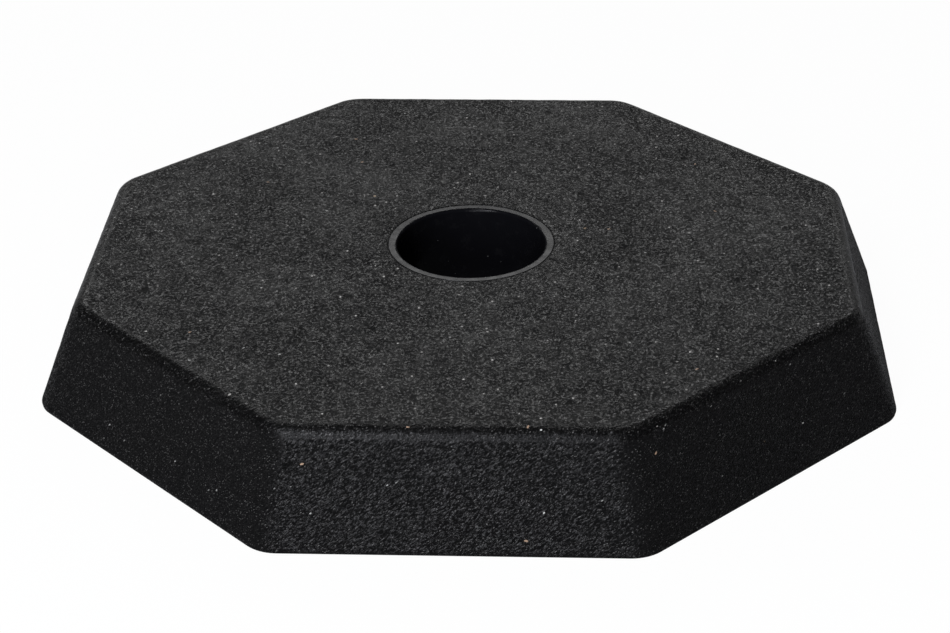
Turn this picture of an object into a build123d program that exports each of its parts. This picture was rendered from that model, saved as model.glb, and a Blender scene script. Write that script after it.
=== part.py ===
from build123d import *
import os

# Octagonal rubber barrier base: a moulded block of crumb rubber with sloping sides,
# and a smooth sleeve in the middle that a barrier post stands in.
# Millimetres. +Z is up, the underside lies on Z = 0, the post hole's axis is the Z axis
# and the front side looks along -Y.

# Footprint on the floor: a rectangle with a 45 degree cut at each corner.
width_across_flats = 406.0  # left side to right side
depth_across_flats = 390.0  # front side to back side
corner_cut = 119.0  # length that each cut takes off both of its neighbours

# Moulded block.
block_height = 52.0
side_draft = 21.0  # degrees that every side leans in from upright
upright_corner_radius = 21.0
top_edge_radius = 8.0
floor_edge_radius = 1.5

# Post hole.
post_diameter = 70.0
post_clearance = 1.0  # all round the post

# Sleeve that lines the post hole. The rubber is moulded round it with no gap.
sleeve_wall = 4.5
sleeve_lip_radius = 1.5  # rounded inner edge at both ends
sleeve_outer_chamfer = 0.3
sleeve_top_recess = 0.35  # the upper end lies this far under the block's top
sleeve_floor_gap = 0.5  # the lower end stays this far off the floor
seam_chamfer = 0.5  # open seam between the block's top and the sleeve

# Sizes that follow from those above.
bore_radius = post_diameter / 2 + post_clearance
sleeve_outer_radius = bore_radius + sleeve_wall
sleeve_length = block_height - sleeve_top_recess - sleeve_floor_gap


def sloping_octagon():
    """The block before its hole: every side leans in, every edge is rounded."""
    rectangle = Rectangle(width_across_flats, depth_across_flats)
    footprint = chamfer(rectangle.vertices(), corner_cut)
    block = extrude(footprint, amount=block_height, taper=side_draft)
    upright_corners = block.edges().group_by(Axis.Z)[1]
    block = fillet(upright_corners, upright_corner_radius)
    top_rim = block.edges().group_by(Axis.Z)[-1]
    block = fillet(top_rim, top_edge_radius)
    floor_rim = block.edges().group_by(Axis.Z)[0]
    return fillet(floor_rim, floor_edge_radius)


def rubber_body():
    """The moulded block with the seat that fits round the sleeve."""
    seat = Cylinder(
        sleeve_outer_radius,
        block_height,
        align=(Align.CENTER, Align.CENTER, Align.MIN),
    )
    block = sloping_octagon() - seat
    seat_rims = block.edges().filter_by(GeomType.CIRCLE).group_by(Axis.Z)
    return chamfer(seat_rims[-1], seam_chamfer)


def bore_sleeve():
    """The sleeve, turned from its wall section."""
    wall_section = Rectangle(sleeve_wall, sleeve_length)
    inner_corners = wall_section.vertices().group_by(Axis.X)[0]
    wall_section = fillet(inner_corners, sleeve_lip_radius)
    outer_corners = wall_section.vertices().group_by(Axis.X)[-1]
    wall_section = chamfer(outer_corners, sleeve_outer_chamfer)
    wall_centre = Pos(bore_radius + sleeve_wall / 2, sleeve_floor_gap + sleeve_length / 2)
    return revolve(Plane.XZ * wall_centre * wall_section, Axis.Z)


pieces = {
    "rubber_body": rubber_body(),
    "bore_sleeve": bore_sleeve(),
}

os.makedirs("parts", exist_ok=True)
for name, piece in pieces.items():
    export_step(piece, f"parts/{name}.step")
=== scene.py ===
from math import cos, pi, radians, sin, sqrt, tan

import bpy
import numpy as np
from mathutils import Matrix, Vector, noise
from mathutils.bvhtree import BVHTree


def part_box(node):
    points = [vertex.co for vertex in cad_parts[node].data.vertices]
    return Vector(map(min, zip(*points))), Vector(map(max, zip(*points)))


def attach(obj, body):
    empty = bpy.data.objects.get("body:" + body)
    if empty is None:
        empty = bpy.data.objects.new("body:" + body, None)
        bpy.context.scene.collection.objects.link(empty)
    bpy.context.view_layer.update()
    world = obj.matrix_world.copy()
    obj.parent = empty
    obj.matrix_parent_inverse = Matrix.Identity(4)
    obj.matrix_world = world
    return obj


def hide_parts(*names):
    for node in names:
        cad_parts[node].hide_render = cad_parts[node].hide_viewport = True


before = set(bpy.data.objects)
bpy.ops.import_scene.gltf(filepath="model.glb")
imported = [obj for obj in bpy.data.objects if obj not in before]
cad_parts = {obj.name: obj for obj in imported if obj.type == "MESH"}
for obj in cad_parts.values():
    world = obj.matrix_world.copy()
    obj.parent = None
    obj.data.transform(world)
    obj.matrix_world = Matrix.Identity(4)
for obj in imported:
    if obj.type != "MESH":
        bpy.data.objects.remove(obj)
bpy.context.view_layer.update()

# Octagonal rubber barrier base, seen from the front and a little above.
# Metres. +Z is up, the underside lies on Z = 0, the post hole's axis is the Z axis
# and the front side looks along -Y.

MILLIMETRE = 0.001

# Block, as in the part's own source.
WIDTH_ACROSS_FLATS = 0.406
DEPTH_ACROSS_FLATS = 0.390
CORNER_CUT = 0.119
SIDE_TURN = pi / 4
SIDE_DRAFT = radians(21.0)
UPRIGHT_CORNER_RADIUS = 0.021
TOP_EDGE_RADIUS = 0.008
FLOOR_EDGE_RADIUS = 0.0015
SEAM_CHAMFER = 0.0005
BLOCK_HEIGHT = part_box("rubber_body")[1].z
SEAT_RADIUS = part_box("bore_sleeve")[1].x

# Camera, fitted to the photograph.
CAMERA_PLACE = Vector((0.0526, -1.0376, 0.5852))
CAMERA_AIM = Vector((0.0005, 0.0183, 0.0))
CAMERA_ROLL = radians(-0.78)
LENS_MM = 90.7
SENSOR_MM = 36.0
PHOTO_WIDTH = 950
PHOTO_HEIGHT = 633


# Outline of the block

HALVINGS = 40
ON_SURFACE = 1e-9


def rounded_meet(first, second, radius, cosine):
    """Signed distance to two faces that meet in a rounded edge, from the distance to each face.

    The cosine is that of the angle between the two faces' outward normals.
    """
    to_first = first + radius
    to_second = second + radius
    spread = 1 - cosine ** 2
    along_first = (to_first - to_second * cosine) / spread
    along_second = (to_second - to_first * cosine) / spread
    round_edge = np.sqrt(np.maximum(to_first * along_first + to_second * along_second, 0))
    on_edge = (along_first > 0) & (along_second > 0)
    return np.where(on_edge, round_edge, np.maximum(to_first, to_second)) - radius


def side_reaches():
    """Distance on the floor from the axis to each of the eight sides, from +X round."""
    half_width = WIDTH_ACROSS_FLATS / 2
    half_depth = DEPTH_ACROSS_FLATS / 2
    to_cut = (half_width + half_depth - CORNER_CUT) / sqrt(2)
    return [half_width, to_cut, half_depth, to_cut] * 2


def block_distance(x, y, z):
    """Signed distance to the moulded block without its hole, negative inside."""
    sides = []
    for side, reach in enumerate(side_reaches()):
        facing = side * SIDE_TURN
        from_wall = x * cos(facing) + y * sin(facing) - reach + z * tan(SIDE_DRAFT)
        sides.append(from_wall * cos(SIDE_DRAFT))
    nearest, second = np.sort(np.stack(sides), axis=0)[:-3:-1]
    between_sides = cos(SIDE_DRAFT) ** 2 * cos(SIDE_TURN) + sin(SIDE_DRAFT) ** 2
    wall = rounded_meet(nearest, second, UPRIGHT_CORNER_RADIUS, between_sides)
    at_top = rounded_meet(wall, z - BLOCK_HEIGHT, TOP_EDGE_RADIUS, sin(SIDE_DRAFT))
    at_floor = rounded_meet(wall, -z, FLOOR_EDGE_RADIUS, -sin(SIDE_DRAFT))
    return np.maximum(at_top, at_floor)


def outline_radius(angles, height):
    """How far the block reaches from the axis at each angle, at one height."""
    inside = np.full(angles.shape, WIDTH_ACROSS_FLATS / 4)
    outside = np.full(angles.shape, WIDTH_ACROSS_FLATS)
    for _ in range(HALVINGS):
        middle = (inside + outside) / 2
        distance = block_distance(middle * np.cos(angles), middle * np.sin(angles), height)
        is_in = distance <= ON_SURFACE
        inside = np.where(is_in, middle, inside)
        outside = np.where(is_in, outside, middle)
    return inside


# Rubber block mesh

COLUMNS = 800
GRID_STEP = 0.0015
HALF_COLUMNS_WITHIN = 0.105
FLOOR_EDGE_RINGS = 5
SEAT_NECK = 3 * SEAM_CHAMFER
UNDERSIDE_SHARES = (0.96, 0.9, 0.75, 0.5, 0.25)
RIM_LOSS = 0.0008
RIM_LOSS_SCALE = 18

# The moulded skin's unevenness: the size and the depth of its swell, its lumps and its crumbs,
# and where the pattern of each starts.
UNEVENNESS = (
    (0.034, 0.00012, Vector((0, 0, 0))),
    (0.0065, 0.00016, Vector((0, 0, 0))),
    (0.0034, 0.00012, Vector((3.1, 7.7, 1.3))),
)


def wall_heights():
    """Heights of the rings from the edge of the flat top down to the floor."""
    top_arc = TOP_EDGE_RADIUS * (pi / 2 - SIDE_DRAFT)
    top_rings = round(top_arc / GRID_STEP)
    leans = np.linspace(pi / 2, SIDE_DRAFT, top_rings + 1)
    top_edge = BLOCK_HEIGHT - TOP_EDGE_RADIUS * (1 - np.sin(leans))
    floor_leans = np.linspace(SIDE_DRAFT, -pi / 2, FLOOR_EDGE_RINGS + 1)
    floor_edge = FLOOR_EDGE_RADIUS * (1 + np.sin(floor_leans))
    wall_length = (top_edge[-1] - floor_edge[0]) / cos(SIDE_DRAFT)
    wall_rings = round(wall_length / GRID_STEP)
    wall = np.linspace(top_edge[-1], floor_edge[0], wall_rings + 1)
    return np.concatenate([top_edge, wall[1:-1], floor_edge])


def ring_angles(columns):
    return np.arange(columns) * 2 * pi / columns


def ring(radii, height, columns):
    """Points of one ring round the axis."""
    angles = ring_angles(columns)
    heights = np.full(columns, height)
    return np.stack([radii * np.cos(angles), radii * np.sin(angles), heights], axis=1)


def ragged_rim(columns):
    """How far crumbs are missing from the rim of the seat at each angle, in metres."""
    around = [Vector((cos(angle), sin(angle), 0)) for angle in ring_angles(columns)]
    return np.array([RIM_LOSS * max(0.0, noise.noise(point * RIM_LOSS_SCALE)) for point in around])


def seat_rings(columns):
    """The hole that holds the sleeve, from the floor up to its chamfered, ragged rim."""
    seat = np.full(columns, SEAT_RADIUS)
    rim = seat + SEAM_CHAMFER + ragged_rim(columns)
    return [
        ring(seat, 0.0, columns),
        ring(seat, BLOCK_HEIGHT - SEAT_NECK, columns),
        ring(seat, BLOCK_HEIGHT - SEAM_CHAMFER, columns),
        ring(rim, BLOCK_HEIGHT, columns),
    ]


def flat_top_rings(outline):
    """The flat top, from the rim of the seat out to just short of the rounded edge."""
    rim = SEAT_RADIUS + SEAM_CHAMFER
    reach = float(np.mean(outline)) - rim
    steps = round(reach / GRID_STEP)
    rings = []
    for step in range(1, steps):
        share = step / steps
        columns = COLUMNS // 2 if rim + reach * share < HALF_COLUMNS_WITHIN else COLUMNS
        along = outline[:: COLUMNS // columns]
        rings.append(ring(rim + (along - rim) * share, BLOCK_HEIGHT, columns))
    return rings


def underside_rings(outline):
    """The underside, from just inside the outline to just short of the hole."""
    along = outline[::2]
    reaches = [SEAT_RADIUS + (along - SEAT_RADIUS) * share for share in UNDERSIDE_SHARES]
    return [ring(reach, 0.0, COLUMNS // 2) for reach in reaches]


def block_rings():
    """All rings of the block, from the foot of its hole up, over the top and back underneath."""
    angles = ring_angles(COLUMNS)
    heights = wall_heights()
    rings = seat_rings(COLUMNS // 2)
    rings += flat_top_rings(outline_radius(angles, heights[0]))
    rings += [ring(outline_radius(angles, height), height, COLUMNS) for height in heights]
    rings += underside_rings(outline_radius(angles, heights[-1]))
    return rings


def join_rings(rings):
    """Faces between each ring and the next, and from the last back to the first."""
    starts = np.cumsum([0] + [len(points) for points in rings])
    faces = []
    for index in range(len(rings)):
        following = (index + 1) % len(rings)
        here, there = starts[index], starts[following]
        count, next_count = len(rings[index]), len(rings[following])
        for i in range(min(count, next_count)):
            j = (i + 1) % min(count, next_count)
            if count == next_count:
                faces.append((here + i, there + i, there + j, here + j))
            elif count < next_count:
                middle = there + 2 * i + 1
                faces.append((here + i, there + 2 * i, middle))
                faces.append((here + i, middle, here + j))
                faces.append((here + j, middle, there + 2 * j))
            else:
                middle = here + 2 * i + 1
                faces.append((here + 2 * i, there + i, middle))
                faces.append((middle, there + i, there + j))
                faces.append((middle, there + j, here + 2 * j))
    return faces


def relief(point):
    """Depth of the moulded skin's unevenness at a point, in metres, never outward."""
    depth = 0.0
    for size, deepest, start in UNEVENNESS:
        depth += deepest * (0.5 + 0.5 * noise.noise(point / size + start))
    return depth


def add_relief(mesh):
    """Pull each point in along its normal, but leave the hole's seat and the underside."""
    mesh.update()
    normals = [vertex.normal.copy() for vertex in mesh.vertices]
    for vertex, normal in zip(mesh.vertices, normals):
        from_axis = vertex.co.xy.length
        if from_axis < SEAT_RADIUS + SEAM_CHAMFER / 2 or vertex.co.z < FLOOR_EDGE_RADIUS / 2:
            continue
        vertex.co = vertex.co - normal * relief(vertex.co)


def add_object(name, data):
    made = bpy.data.objects.new(name, data)
    bpy.context.scene.collection.objects.link(made)
    return made


def rubber_block():
    rings = block_rings()
    mesh = bpy.data.meshes.new("rubber_block")
    mesh.from_pydata(np.concatenate(rings).tolist(), [], join_rings(rings))
    add_relief(mesh)
    mesh.shade_smooth()
    return add_object("rubber_block", mesh)


# Short ways to build materials

# Spots are at their full strength up to this share of their radius.
SPOT_CORE = 0.6


class Nodes:
    """A material's or world's node tree, with short ways to add and join nodes."""

    def __init__(self, owner):
        owner.use_nodes = True
        self.tree = owner.node_tree
        self.tree.nodes.clear()

    def fill(self, socket, value):
        """Join a socket to a node's output, or set it to a plain value."""
        if isinstance(value, bpy.types.NodeSocket):
            self.tree.links.new(value, socket)
        else:
            socket.default_value = value

    def add(self, kind, inputs=None, **settings):
        made = self.tree.nodes.new(kind)
        for name, value in settings.items():
            setattr(made, name, value)
        for name, value in (inputs or {}).items():
            self.fill(made.inputs[name], value)
        return made

    def place(self):
        return self.add("ShaderNodeTexCoord").outputs["Object"]

    def math(self, operation, *values):
        return self.add("ShaderNodeMath", dict(enumerate(values)), operation=operation).outputs[0]

    def vector(self, operation, inputs, output="Vector"):
        return self.add("ShaderNodeVectorMath", inputs, operation=operation).outputs[output]

    def ramp(self, value, low, high, to_low=0.0, to_high=1.0):
        inputs = {"Value": value, "From Min": low, "From Max": high, "To Min": to_low, "To Max": to_high}
        return self.add("ShaderNodeMapRange", inputs, interpolation_type="SMOOTHSTEP").outputs[0]

    def mix_number(self, factor, first, second):
        inputs = {0: factor, 2: first, 3: second}
        return self.add("ShaderNodeMix", inputs, data_type="FLOAT").outputs[0]

    def mix(self, factor, first, second):
        inputs = {0: factor, 6: first, 7: second}
        return self.add("ShaderNodeMix", inputs, data_type="RGBA").outputs[2]

    def bump(self, height, distance):
        inputs = {"Height": height, "Distance": distance, "Strength": 1.0}
        return self.add("ShaderNodeBump", inputs).outputs[0]

    def surface(self, inputs):
        made = self.add("ShaderNodeBsdfPrincipled", inputs)
        self.add("ShaderNodeOutputMaterial", {"Surface": made.outputs[0]})


def noise_field(nodes, place, scale, detail=2.0, roughness=0.6):
    inputs = {"Vector": place, "Scale": scale, "Detail": detail, "Roughness": roughness}
    return nodes.add("ShaderNodeTexNoise", inputs).outputs


def cell_shades(nodes, cells):
    """Three even random numbers for each cell."""
    return nodes.add("ShaderNodeSeparateColor", {0: cells["Color"]}).outputs


def sparse_spots(nodes, place, scale, share, radius):
    """1 inside small spots in a given share of the cells, fading to 0 at the radius."""
    cells = nodes.add("ShaderNodeTexVoronoi", {"Vector": place, "Scale": scale}).outputs
    chosen = nodes.math("GREATER_THAN", cell_shades(nodes, cells)[0], 1 - share)
    near = nodes.ramp(cells["Distance"], radius * SPOT_CORE, radius, 1.0, 0.0)
    return nodes.math("MULTIPLY", chosen, near)


# Crumb rubber skin

# The way the rubber flowed in the mould, and how far the grain is drawn out.
FLOW = Vector((0.75, 0.1, 0.6)).normalized()
FLOW_SQUEEZE = 0.62
GRAIN_LENGTHS = (0.85, 0.52, 1.0)

# The sides have a finer grain. They end at this share of the rounded edge's height.
SIDE_TOP = 0.72
SIDE_FINENESS = 1.3

# Patterns. Scales are repeats a metre.
CRUMB_SCALE = 2300.0
WOBBLE_SCALE = 800.0
WOBBLE_REACH = 0.0005
STREAK_SCALE = 1250.0
STREAK_DETAIL = 2.0
STREAK_HARSHNESS = 0.7
STREAK_RANGE = (0.36, 0.66)
PATCH_SCALE = 90.0
PATCH_DETAIL = 3.0
PATCH_RANGE = (0.3, 0.7)
PATCH_SHADES = (0.92, 1.06)
FOLD_SCALE = 470.0
FOLD_DETAIL = 3.0
CREASE_WIDTH = 0.03

# Spots: scale, share of the cells that hold one, and radius as a share of a cell.
PITS = (100.0, 0.14, 0.13)
SPECKS = (430.0, 0.06, 0.2)
CHIPS = (340.0, 0.32, 0.135)
FIBRES = (190.0, 0.012, 0.12)

# Heights of the fine relief, in millimetres.
CELL_BUMP = 0.05
STREAK_BUMP = 0.06
FOLD_BUMP = 1.1
SIDE_FOLD_BUMP = 0.65
CREASE_BUMP = 0.08
PIT_BUMP = 0.6

# Colours, and how they vary from crumb to crumb.
DARK_RUBBER = (0.0006, 0.0006, 0.0006, 1)
LIGHT_RUBBER = (0.0052, 0.005, 0.005, 1)
DULLEST_CRUMB = 0.45
SHINY_CRUMB_POWER = 3.0
# Painted shade: how much darker in colour, and duller, the hollows are made.
HOLLOW_DULLING_AND_PAINTED_SHADE = 0.85
# Sparse light grains: light crumbs that also stand in as painted glints.
GLINT_AND_GRAIN_COLOUR = (0.1, 0.098, 0.094, 1)
GLINT_AND_GRAIN_POWER = 9.0
GLINT_AND_GRAIN_FADE = (0.2, 0.5)
SPECK_COLOUR = (0.3, 0.3, 0.285, 1)
SPECK_POWER = 3.0
CHIP_COLOUR = (0.32, 0.31, 0.29, 1)
FAINTEST_CHIP = 0.3
FIBRE_COLOUR = (0.20, 0.15, 0.1, 1)

# Sheen and roughness.
RUBBER_SHEEN = 0.096
SHINY_ROUGHNESS = 0.2
DULL_ROUGHNESS = 0.97
HOLLOW_ROUGHNESS = 0.95
DULL_BELOW = 0.08
SHINY_ABOVE = 0.45

# The rounded top edge is smoother. Its band starts and ends at these shares of its height.
EDGE_START = (0.36, 0.5)
EDGE_END = (0.95, 0.995)
EDGE_ROUGHNESS = 0.24
EDGE_SMOOTHING = 0.85
EDGE_FLATNESS = 0.4


def edge_height(nodes):
    """0 at the foot of the rounded top edge, 1 where it meets the top."""
    height = nodes.add("ShaderNodeSeparateXYZ", {0: nodes.place()}).outputs["Z"]
    foot = BLOCK_HEIGHT - TOP_EDGE_RADIUS
    return nodes.math("DIVIDE", nodes.math("SUBTRACT", height, foot), TOP_EDGE_RADIUS)


def top_edge_band(nodes, upright):
    """1 along the middle of the rounded top edge, where the mould left the rubber smoother."""
    started = nodes.ramp(upright, *EDGE_START)
    not_ended = nodes.ramp(upright, *EDGE_END, 1.0, 0.0)
    return nodes.math("MULTIPLY", started, not_ended)


def skin_place(nodes, on_side):
    """The place on the block, squeezed along the flow, which draws the grain out that way."""
    place = nodes.place()
    along = nodes.vector("DOT_PRODUCT", {0: place, 1: FLOW}, "Value")
    squeeze = nodes.math("MULTIPLY", along, -FLOW_SQUEEZE)
    back = nodes.vector("SCALE", {0: FLOW, "Scale": squeeze})
    squeezed = nodes.vector("ADD", {0: place, 1: back})
    stretched = nodes.vector("MULTIPLY", {0: squeezed, 1: GRAIN_LENGTHS})
    finer = nodes.mix_number(on_side, 1.0, SIDE_FINENESS)
    return nodes.vector("SCALE", {0: stretched, "Scale": finer})


def crooked_place(nodes, place):
    """The place shifted by a wobble, so that the edges of crumbs run crooked."""
    wobble = noise_field(nodes, place, WOBBLE_SCALE)["Color"]
    shift = nodes.vector("SCALE", {0: wobble, "Scale": WOBBLE_REACH})
    return nodes.vector("ADD", {0: place, 1: shift})


def rubber_shine(nodes, place, streaks, shades, hollow):
    """How shiny and how light the skin is: streaks that differ from crumb to crumb, and dull hollows
    with painted shade.
    """
    lively = nodes.math("POWER", shades[0], SHINY_CRUMB_POWER)
    shine = nodes.math("MULTIPLY", streaks, nodes.ramp(lively, 0.0, 1.0, DULLEST_CRUMB, 1.0))
    patches = noise_field(nodes, place, PATCH_SCALE, PATCH_DETAIL)["Fac"]
    shine = nodes.math("MULTIPLY", shine, nodes.ramp(patches, *PATCH_RANGE, *PATCH_SHADES))
    # Painted shade: the hollows are made darker in colour here, as well as duller.
    outside = nodes.math("SUBTRACT", 1.0, nodes.math("MULTIPLY", hollow, HOLLOW_DULLING_AND_PAINTED_SHADE))
    return nodes.math("MULTIPLY", shine, outside)


def rubber_colour(nodes, crooked, crumbs, shades, shine, on_side):
    """Black rubber with sparse light grains, partly painted glints, and specks, fibres, and chips on the
    top alone.
    """
    # Painted glints: sparse light grains near crumb centres, partly real light crumbs.
    glints_and_grains = nodes.math("POWER", shades[1], GLINT_AND_GRAIN_POWER)
    glints_and_grains = nodes.math("MULTIPLY", glints_and_grains, nodes.ramp(crumbs["Distance"], *GLINT_AND_GRAIN_FADE, 1.0, 0.0))
    specks = sparse_spots(nodes, crooked, *SPECKS)
    specks = nodes.math("MULTIPLY", specks, nodes.math("POWER", shades[2], SPECK_POWER))
    chips = sparse_spots(nodes, crooked, *CHIPS)
    chips = nodes.math("MULTIPLY", chips, nodes.ramp(shades[2], 0.0, 1.0, FAINTEST_CHIP, 1.0))
    chips = nodes.mix_number(on_side, chips, 0.0)
    fibres = sparse_spots(nodes, crooked, *FIBRES)
    # The rubber's tone follows the shine, so the hollows carry its painted shade.
    colour = nodes.mix(shine, DARK_RUBBER, LIGHT_RUBBER)
    colour = nodes.mix(glints_and_grains, colour, GLINT_AND_GRAIN_COLOUR)
    colour = nodes.mix(specks, colour, SPECK_COLOUR)
    colour = nodes.mix(chips, colour, CHIP_COLOUR)
    return nodes.mix(fibres, colour, FIBRE_COLOUR)


def rubber_relief(nodes, crumbs, streaks, fold, creases, pits, on_side):
    """Height of the skin's fine relief, in millimetres."""
    fold_bump = nodes.mix_number(on_side, FOLD_BUMP, SIDE_FOLD_BUMP)
    height = nodes.math("MULTIPLY", crumbs["Distance"], -CELL_BUMP)
    height = nodes.math("ADD", height, nodes.math("MULTIPLY", streaks, STREAK_BUMP))
    height = nodes.math("ADD", height, nodes.math("MULTIPLY", fold, fold_bump))
    height = nodes.math("SUBTRACT", height, nodes.math("MULTIPLY", creases, CREASE_BUMP))
    return nodes.math("SUBTRACT", height, nodes.math("MULTIPLY", pits, PIT_BUMP))


def rubber_roughness(nodes, shine, hollow, edge):
    roughness = nodes.ramp(shine, DULL_BELOW, SHINY_ABOVE, DULL_ROUGHNESS, SHINY_ROUGHNESS)
    in_hollow = nodes.math("MULTIPLY", hollow, HOLLOW_ROUGHNESS)
    roughness = nodes.math("MAXIMUM", roughness, in_hollow)
    smoothed = nodes.math("MULTIPLY", edge, EDGE_SMOOTHING)
    return nodes.mix_number(smoothed, roughness, EDGE_ROUGHNESS)


def rubber_material():
    material = bpy.data.materials.new("crumb_rubber_skin")
    nodes = Nodes(material)
    upright = edge_height(nodes)
    on_side = nodes.math("LESS_THAN", upright, SIDE_TOP)
    edge = top_edge_band(nodes, upright)
    place = skin_place(nodes, on_side)
    crooked = crooked_place(nodes, place)
    crumbs = nodes.add("ShaderNodeTexVoronoi", {"Vector": crooked, "Scale": CRUMB_SCALE}).outputs
    shades = cell_shades(nodes, crumbs)
    streaks = noise_field(nodes, place, STREAK_SCALE, STREAK_DETAIL, STREAK_HARSHNESS)["Fac"]
    streaks = nodes.ramp(streaks, *STREAK_RANGE)
    folds = noise_field(nodes, place, FOLD_SCALE, FOLD_DETAIL)["Fac"]
    fold = nodes.math("ABSOLUTE", nodes.math("SUBTRACT", folds, 0.5))
    creases = nodes.ramp(fold, 0.0, CREASE_WIDTH, 1.0, 0.0)
    pits = sparse_spots(nodes, crooked, *PITS)
    # Creases and pits: duller, and darker in colour as painted shade.
    hollow = nodes.math("MAXIMUM", creases, pits)
    shine = rubber_shine(nodes, place, streaks, shades, hollow)
    height = rubber_relief(nodes, crumbs, streaks, fold, creases, pits, on_side)
    height = nodes.math("MULTIPLY", height, nodes.ramp(edge, 0.0, 1.0, 1.0, 1 - EDGE_FLATNESS))
    nodes.surface({
        "Base Color": rubber_colour(nodes, crooked, crumbs, shades, shine, on_side),
        "Roughness": rubber_roughness(nodes, shine, hollow, edge),
        "Specular IOR Level": RUBBER_SHEEN,
        "Normal": nodes.bump(height, MILLIMETRE),
    })
    return material


# Satin plastic of the sleeve

SLEEVE_COLOUR = (0.0025, 0.0025, 0.0031, 1)
HAZE_COLOUR = (0.0038, 0.0038, 0.0044, 1)
DUST_COLOUR = (0.1, 0.1, 0.095, 1)
DUST = (600.0, 0.04, 0.16)
HAZE_RANGE = (0.5, 0.75)
SMEAR_SCALE = 160.0
SMEAR_DETAIL = 4.0
SMEAR_HARSHNESS = 0.65
SMEAR_RANGE = (0.3, 0.75)
SLEEVE_ROUGHNESS = (0.17, 0.32)
SLEEVE_SHEEN = 0.05
SLEEVE_WAVE_SCALE = 300.0
SLEEVE_WAVES = 0.00003


def sleeve_material():
    material = bpy.data.materials.new("sleeve_plastic_satin")
    nodes = Nodes(material)
    place = nodes.place()
    smears = noise_field(nodes, place, SMEAR_SCALE, SMEAR_DETAIL, SMEAR_HARSHNESS)["Fac"]
    colour = nodes.mix(nodes.ramp(smears, *HAZE_RANGE), SLEEVE_COLOUR, HAZE_COLOUR)
    waves = noise_field(nodes, place, SLEEVE_WAVE_SCALE)["Fac"]
    nodes.surface({
        "Base Color": nodes.mix(sparse_spots(nodes, place, *DUST), colour, DUST_COLOUR),
        "Roughness": nodes.ramp(smears, *SMEAR_RANGE, *SLEEVE_ROUGHNESS),
        "Specular IOR Level": SLEEVE_SHEEN,
        "Normal": nodes.bump(waves, SLEEVE_WAVES),
    })
    return material


# Light flecks pressed into the skin

FLECK_SIDES = 8
FLECK_SINK = 0.00002
FLECK_RISE = 0.00009
FLECK_TURNS = (0.0, 0.5, -0.4, 0.9, -0.8)
FLECK_ROUGHNESS = 0.8
FLECK_SHADE_SCALE = 1500.0
FLECK_SHADE_RANGE = (0.35, 0.65)
FLECK_DARKEST = 0.55

# Length and width, colour, and the points of the photograph where such flecks show.
TAN_SIZE = (0.0022, 0.0011)
TAN_COLOUR = (0.24, 0.16, 0.105)
TAN_FLECKS = (
    (356, 139), (362, 162), (268, 182), (695, 164), (715, 211), (609, 229), (190, 332),
    (302, 464), (528, 427), (526, 541), (656, 453), (697, 369), (408, 427),
)
WHITE_SIZE = (0.0012, 0.0009)
WHITE_COLOUR = (0.4, 0.4, 0.38)
WHITE_FLECKS = ((541, 430), (544, 513), (803, 423))


def fleck_material(name, colour):
    """Dry fibre or chip with a slightly uneven colour."""
    material = bpy.data.materials.new(name)
    nodes = Nodes(material)
    uneven = noise_field(nodes, nodes.place(), FLECK_SHADE_SCALE)["Fac"]
    darker = tuple(FLECK_DARKEST * part for part in colour) + (1,)
    shade = nodes.mix(nodes.ramp(uneven, *FLECK_SHADE_RANGE), darker, colour + (1,))
    nodes.surface({"Base Color": shade, "Roughness": FLECK_ROUGHNESS})
    return material


def block_skin(block):
    """The block's surface, ready to be met by rays."""
    points = [vertex.co for vertex in block.data.vertices]
    faces = [tuple(face.vertices) for face in block.data.polygons]
    return BVHTree.FromPolygons(points, faces)


def camera_ray(camera, pixel):
    """Direction from the camera through a point of the photograph."""
    x, y = pixel
    reach = LENS_MM / SENSOR_MM * PHOTO_WIDTH
    direction = Vector((x - PHOTO_WIDTH / 2, PHOTO_HEIGHT / 2 - y, -reach)).normalized()
    return camera.matrix_world.to_3x3() @ direction


def fleck_points(place, normal, turn, length, width):
    """A low dome's rim, crown and foot, lying on the skin with its long side along the flow."""
    along = (FLOW - normal * FLOW.dot(normal)).normalized()
    along = Matrix.Rotation(turn, 3, normal) @ along
    across = normal.cross(along)
    points = []
    for step in range(FLECK_SIDES):
        angle = step * 2 * pi / FLECK_SIDES
        reach = along * (cos(angle) * length / 2) + across * (sin(angle) * width / 2)
        points.append(place + reach - normal * FLECK_SINK)
    points.append(place + normal * FLECK_RISE)
    points.append(place - normal * (FLECK_SINK + FLECK_RISE))
    return points


def flecks(name, pixels, size, skin, camera, material):
    """One piece with a fleck at each of the given points of the photograph."""
    points, faces = [], []
    for index, pixel in enumerate(pixels):
        place, normal = skin.ray_cast(camera.location, camera_ray(camera, pixel))[:2]
        first = len(points)
        points += fleck_points(place, normal, FLECK_TURNS[index % len(FLECK_TURNS)], *size)
        crown, foot = first + FLECK_SIDES, first + FLECK_SIDES + 1
        for step in range(FLECK_SIDES):
            here, there = first + step, first + (step + 1) % FLECK_SIDES
            faces += [(here, there, crown), (there, here, foot)]
    mesh = bpy.data.meshes.new(name)
    mesh.from_pydata(points, [], faces)
    mesh.materials.append(material)
    piece = add_object(name, mesh)
    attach(piece, "root")


# Studio

PLAIN_WHITE = (1, 1, 1, 1)
COOL_WHITE = (0.92, 0.935, 1.0)

# Floor: its own colour, and the white that it glows with.
FLOOR_HALF_WIDTH = 6.0
FLOOR_COLOUR = (0.3, 0.3, 0.3, 1)
FLOOR_GLOW = 1.038
WHITE_SHARE = 0.93
SHADOW_REACH = 0.4

# Above the floor's horizon: the white that the camera sees, the dim light of the room, and a
# backdrop behind the block, which fades in sideways and out upward.
HORIZON_WHITE = 0.9893
ROOM = 0.025
BACKDROP = 0.08
BACKDROP_SPAN = (0.1, 0.6)
BACKDROP_TOP = (0.42, 0.64)

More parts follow.
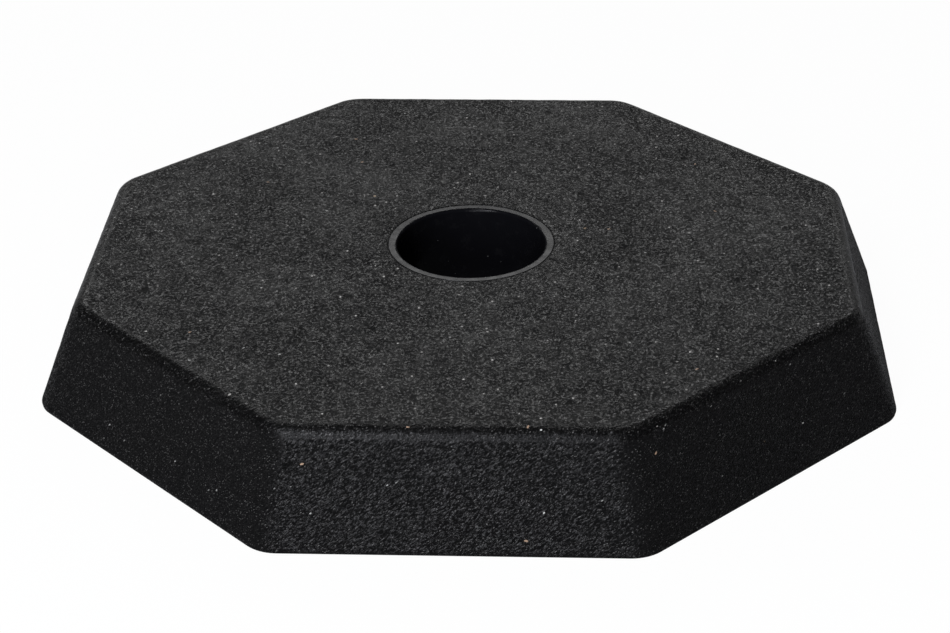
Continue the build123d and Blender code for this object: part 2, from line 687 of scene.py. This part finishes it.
# Compass angle, height angle and distance of each lamp, its width and height, power and colour.
LAMPS = {
    "low": (radians(-9), radians(15), 2.2, 1.15, 0.75, 46, COOL_WHITE),
    "over": (radians(-28), radians(50), 2.0, 0.48, 0.95, 45, COOL_WHITE),
    "back": (radians(-176), radians(33), 3.5, 3.5, 0.7, 56.7, (1.0, 1.0, 1.0)),
}


def white_share(nodes, from_axis):
    """How much of the floor shows as white ground, to the camera and in mirrors and glass.

    Soft light is gathered from the floor as the lamps light it. Mirrors and glass also see it
    that way close to the block, where its shadow falls.
    """
    path = nodes.add("ShaderNodeLightPath").outputs
    in_open = nodes.math("GREATER_THAN", from_axis, SEAT_RADIUS)
    to_camera = nodes.math("MULTIPLY", path["Is Camera Ray"], in_open)
    in_mirror = nodes.math("MAXIMUM", path["Is Glossy Ray"], path["Is Transmission Ray"])
    clear = nodes.ramp(from_axis, SHADOW_REACH, 2 * SHADOW_REACH)
    in_mirror = nodes.math("MULTIPLY", in_mirror, clear)
    return nodes.math("MULTIPLY", nodes.math("MAXIMUM", to_camera, in_mirror), WHITE_SHARE)


def floor_material():
    material = bpy.data.materials.new("pale_floor")
    nodes = Nodes(material)
    pale = nodes.add("ShaderNodeBsdfDiffuse", {"Color": FLOOR_COLOUR})
    glow = nodes.add("ShaderNodeEmission", {"Color": PLAIN_WHITE, "Strength": FLOOR_GLOW})
    place = nodes.add("ShaderNodeNewGeometry").outputs["Position"]
    share = white_share(nodes, nodes.vector("LENGTH", {0: place}, "Value"))
    both = nodes.add("ShaderNodeMixShader", {0: share, 1: pale.outputs[0], 2: glow.outputs[0]})
    nodes.add("ShaderNodeOutputMaterial", {"Surface": both.outputs[0]})
    return material


def studio_floor():
    mesh = bpy.data.meshes.new("studio_floor")
    half = FLOOR_HALF_WIDTH
    corners = [(-half, -half, 0), (half, -half, 0), (half, half, 0), (-half, half, 0)]
    mesh.from_pydata(corners, [], [(0, 1, 2, 3)])
    mesh.materials.append(floor_material())
    floor = add_object("studio_floor", mesh)


def studio_world():
    """White to the camera. To all else a dim room, with a slightly lighter backdrop behind."""
    world = bpy.data.worlds.new("studio")
    nodes = Nodes(world)
    path = nodes.add("ShaderNodeLightPath").outputs
    direction = nodes.add("ShaderNodeTexCoord").outputs["Generated"]
    parts = nodes.add("ShaderNodeSeparateXYZ", {0: direction}).outputs
    behind = nodes.ramp(parts["Y"], *BACKDROP_SPAN, 0.0, BACKDROP)
    low = nodes.ramp(parts["Z"], *BACKDROP_TOP, 1.0, 0.0)
    around = nodes.math("ADD", nodes.math("MULTIPLY", behind, low), ROOM)
    level = nodes.mix_number(path["Is Camera Ray"], around, HORIZON_WHITE)
    light = nodes.add("ShaderNodeBackground", {"Strength": level, "Color": PLAIN_WHITE})
    nodes.add("ShaderNodeOutputWorld", {"Surface": light.outputs[0]})
    bpy.context.scene.world = world


def soft_lamp(name, facing, lift, distance, width, height, power, colour):
    """A soft rectangular lamp aimed at the block, by its compass angle and its height angle."""
    lamp = bpy.data.lights.new(name, "AREA")
    lamp.shape = "RECTANGLE"
    lamp.size = width
    lamp.size_y = height
    lamp.energy = power
    lamp.color = colour
    placed = add_object(name, lamp)
    away = Vector((sin(facing) * cos(lift), -cos(facing) * cos(lift), sin(lift)))
    placed.location = away * distance
    placed.rotation_euler = (-away).to_track_quat("-Z", "Y").to_euler()


def studio_camera():
    data = bpy.data.cameras.new("camera")
    data.lens = LENS_MM
    data.sensor_width = SENSOR_MM
    camera = add_object("camera", data)
    level = (CAMERA_AIM - CAMERA_PLACE).to_track_quat("-Z", "Y").to_matrix()
    rolled = level @ Matrix.Rotation(CAMERA_ROLL, 3, "Z")
    camera.matrix_world = Matrix.Translation(CAMERA_PLACE) @ rolled.to_4x4()
    bpy.context.scene.camera = camera
    return camera


block = rubber_block()
block.data.materials.append(rubber_material())
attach(block, "root")
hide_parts("rubber_body")
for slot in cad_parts["bore_sleeve"].material_slots:
    slot.material = sleeve_material()

camera = studio_camera()
bpy.context.view_layer.update()
skin = block_skin(block)
fibre_look = fleck_material("tan_fibre", TAN_COLOUR)
chip_look = fleck_material("white_chip", WHITE_COLOUR)
flecks("tan_flecks", TAN_FLECKS, TAN_SIZE, skin, camera, fibre_look)
flecks("white_flecks", WHITE_FLECKS, WHITE_SIZE, skin, camera, chip_look)
studio_floor()
studio_world()
for name, setting in LAMPS.items():
    soft_lamp(name, *setting)
bpy.context.scene.view_settings.view_transform = "Standard"
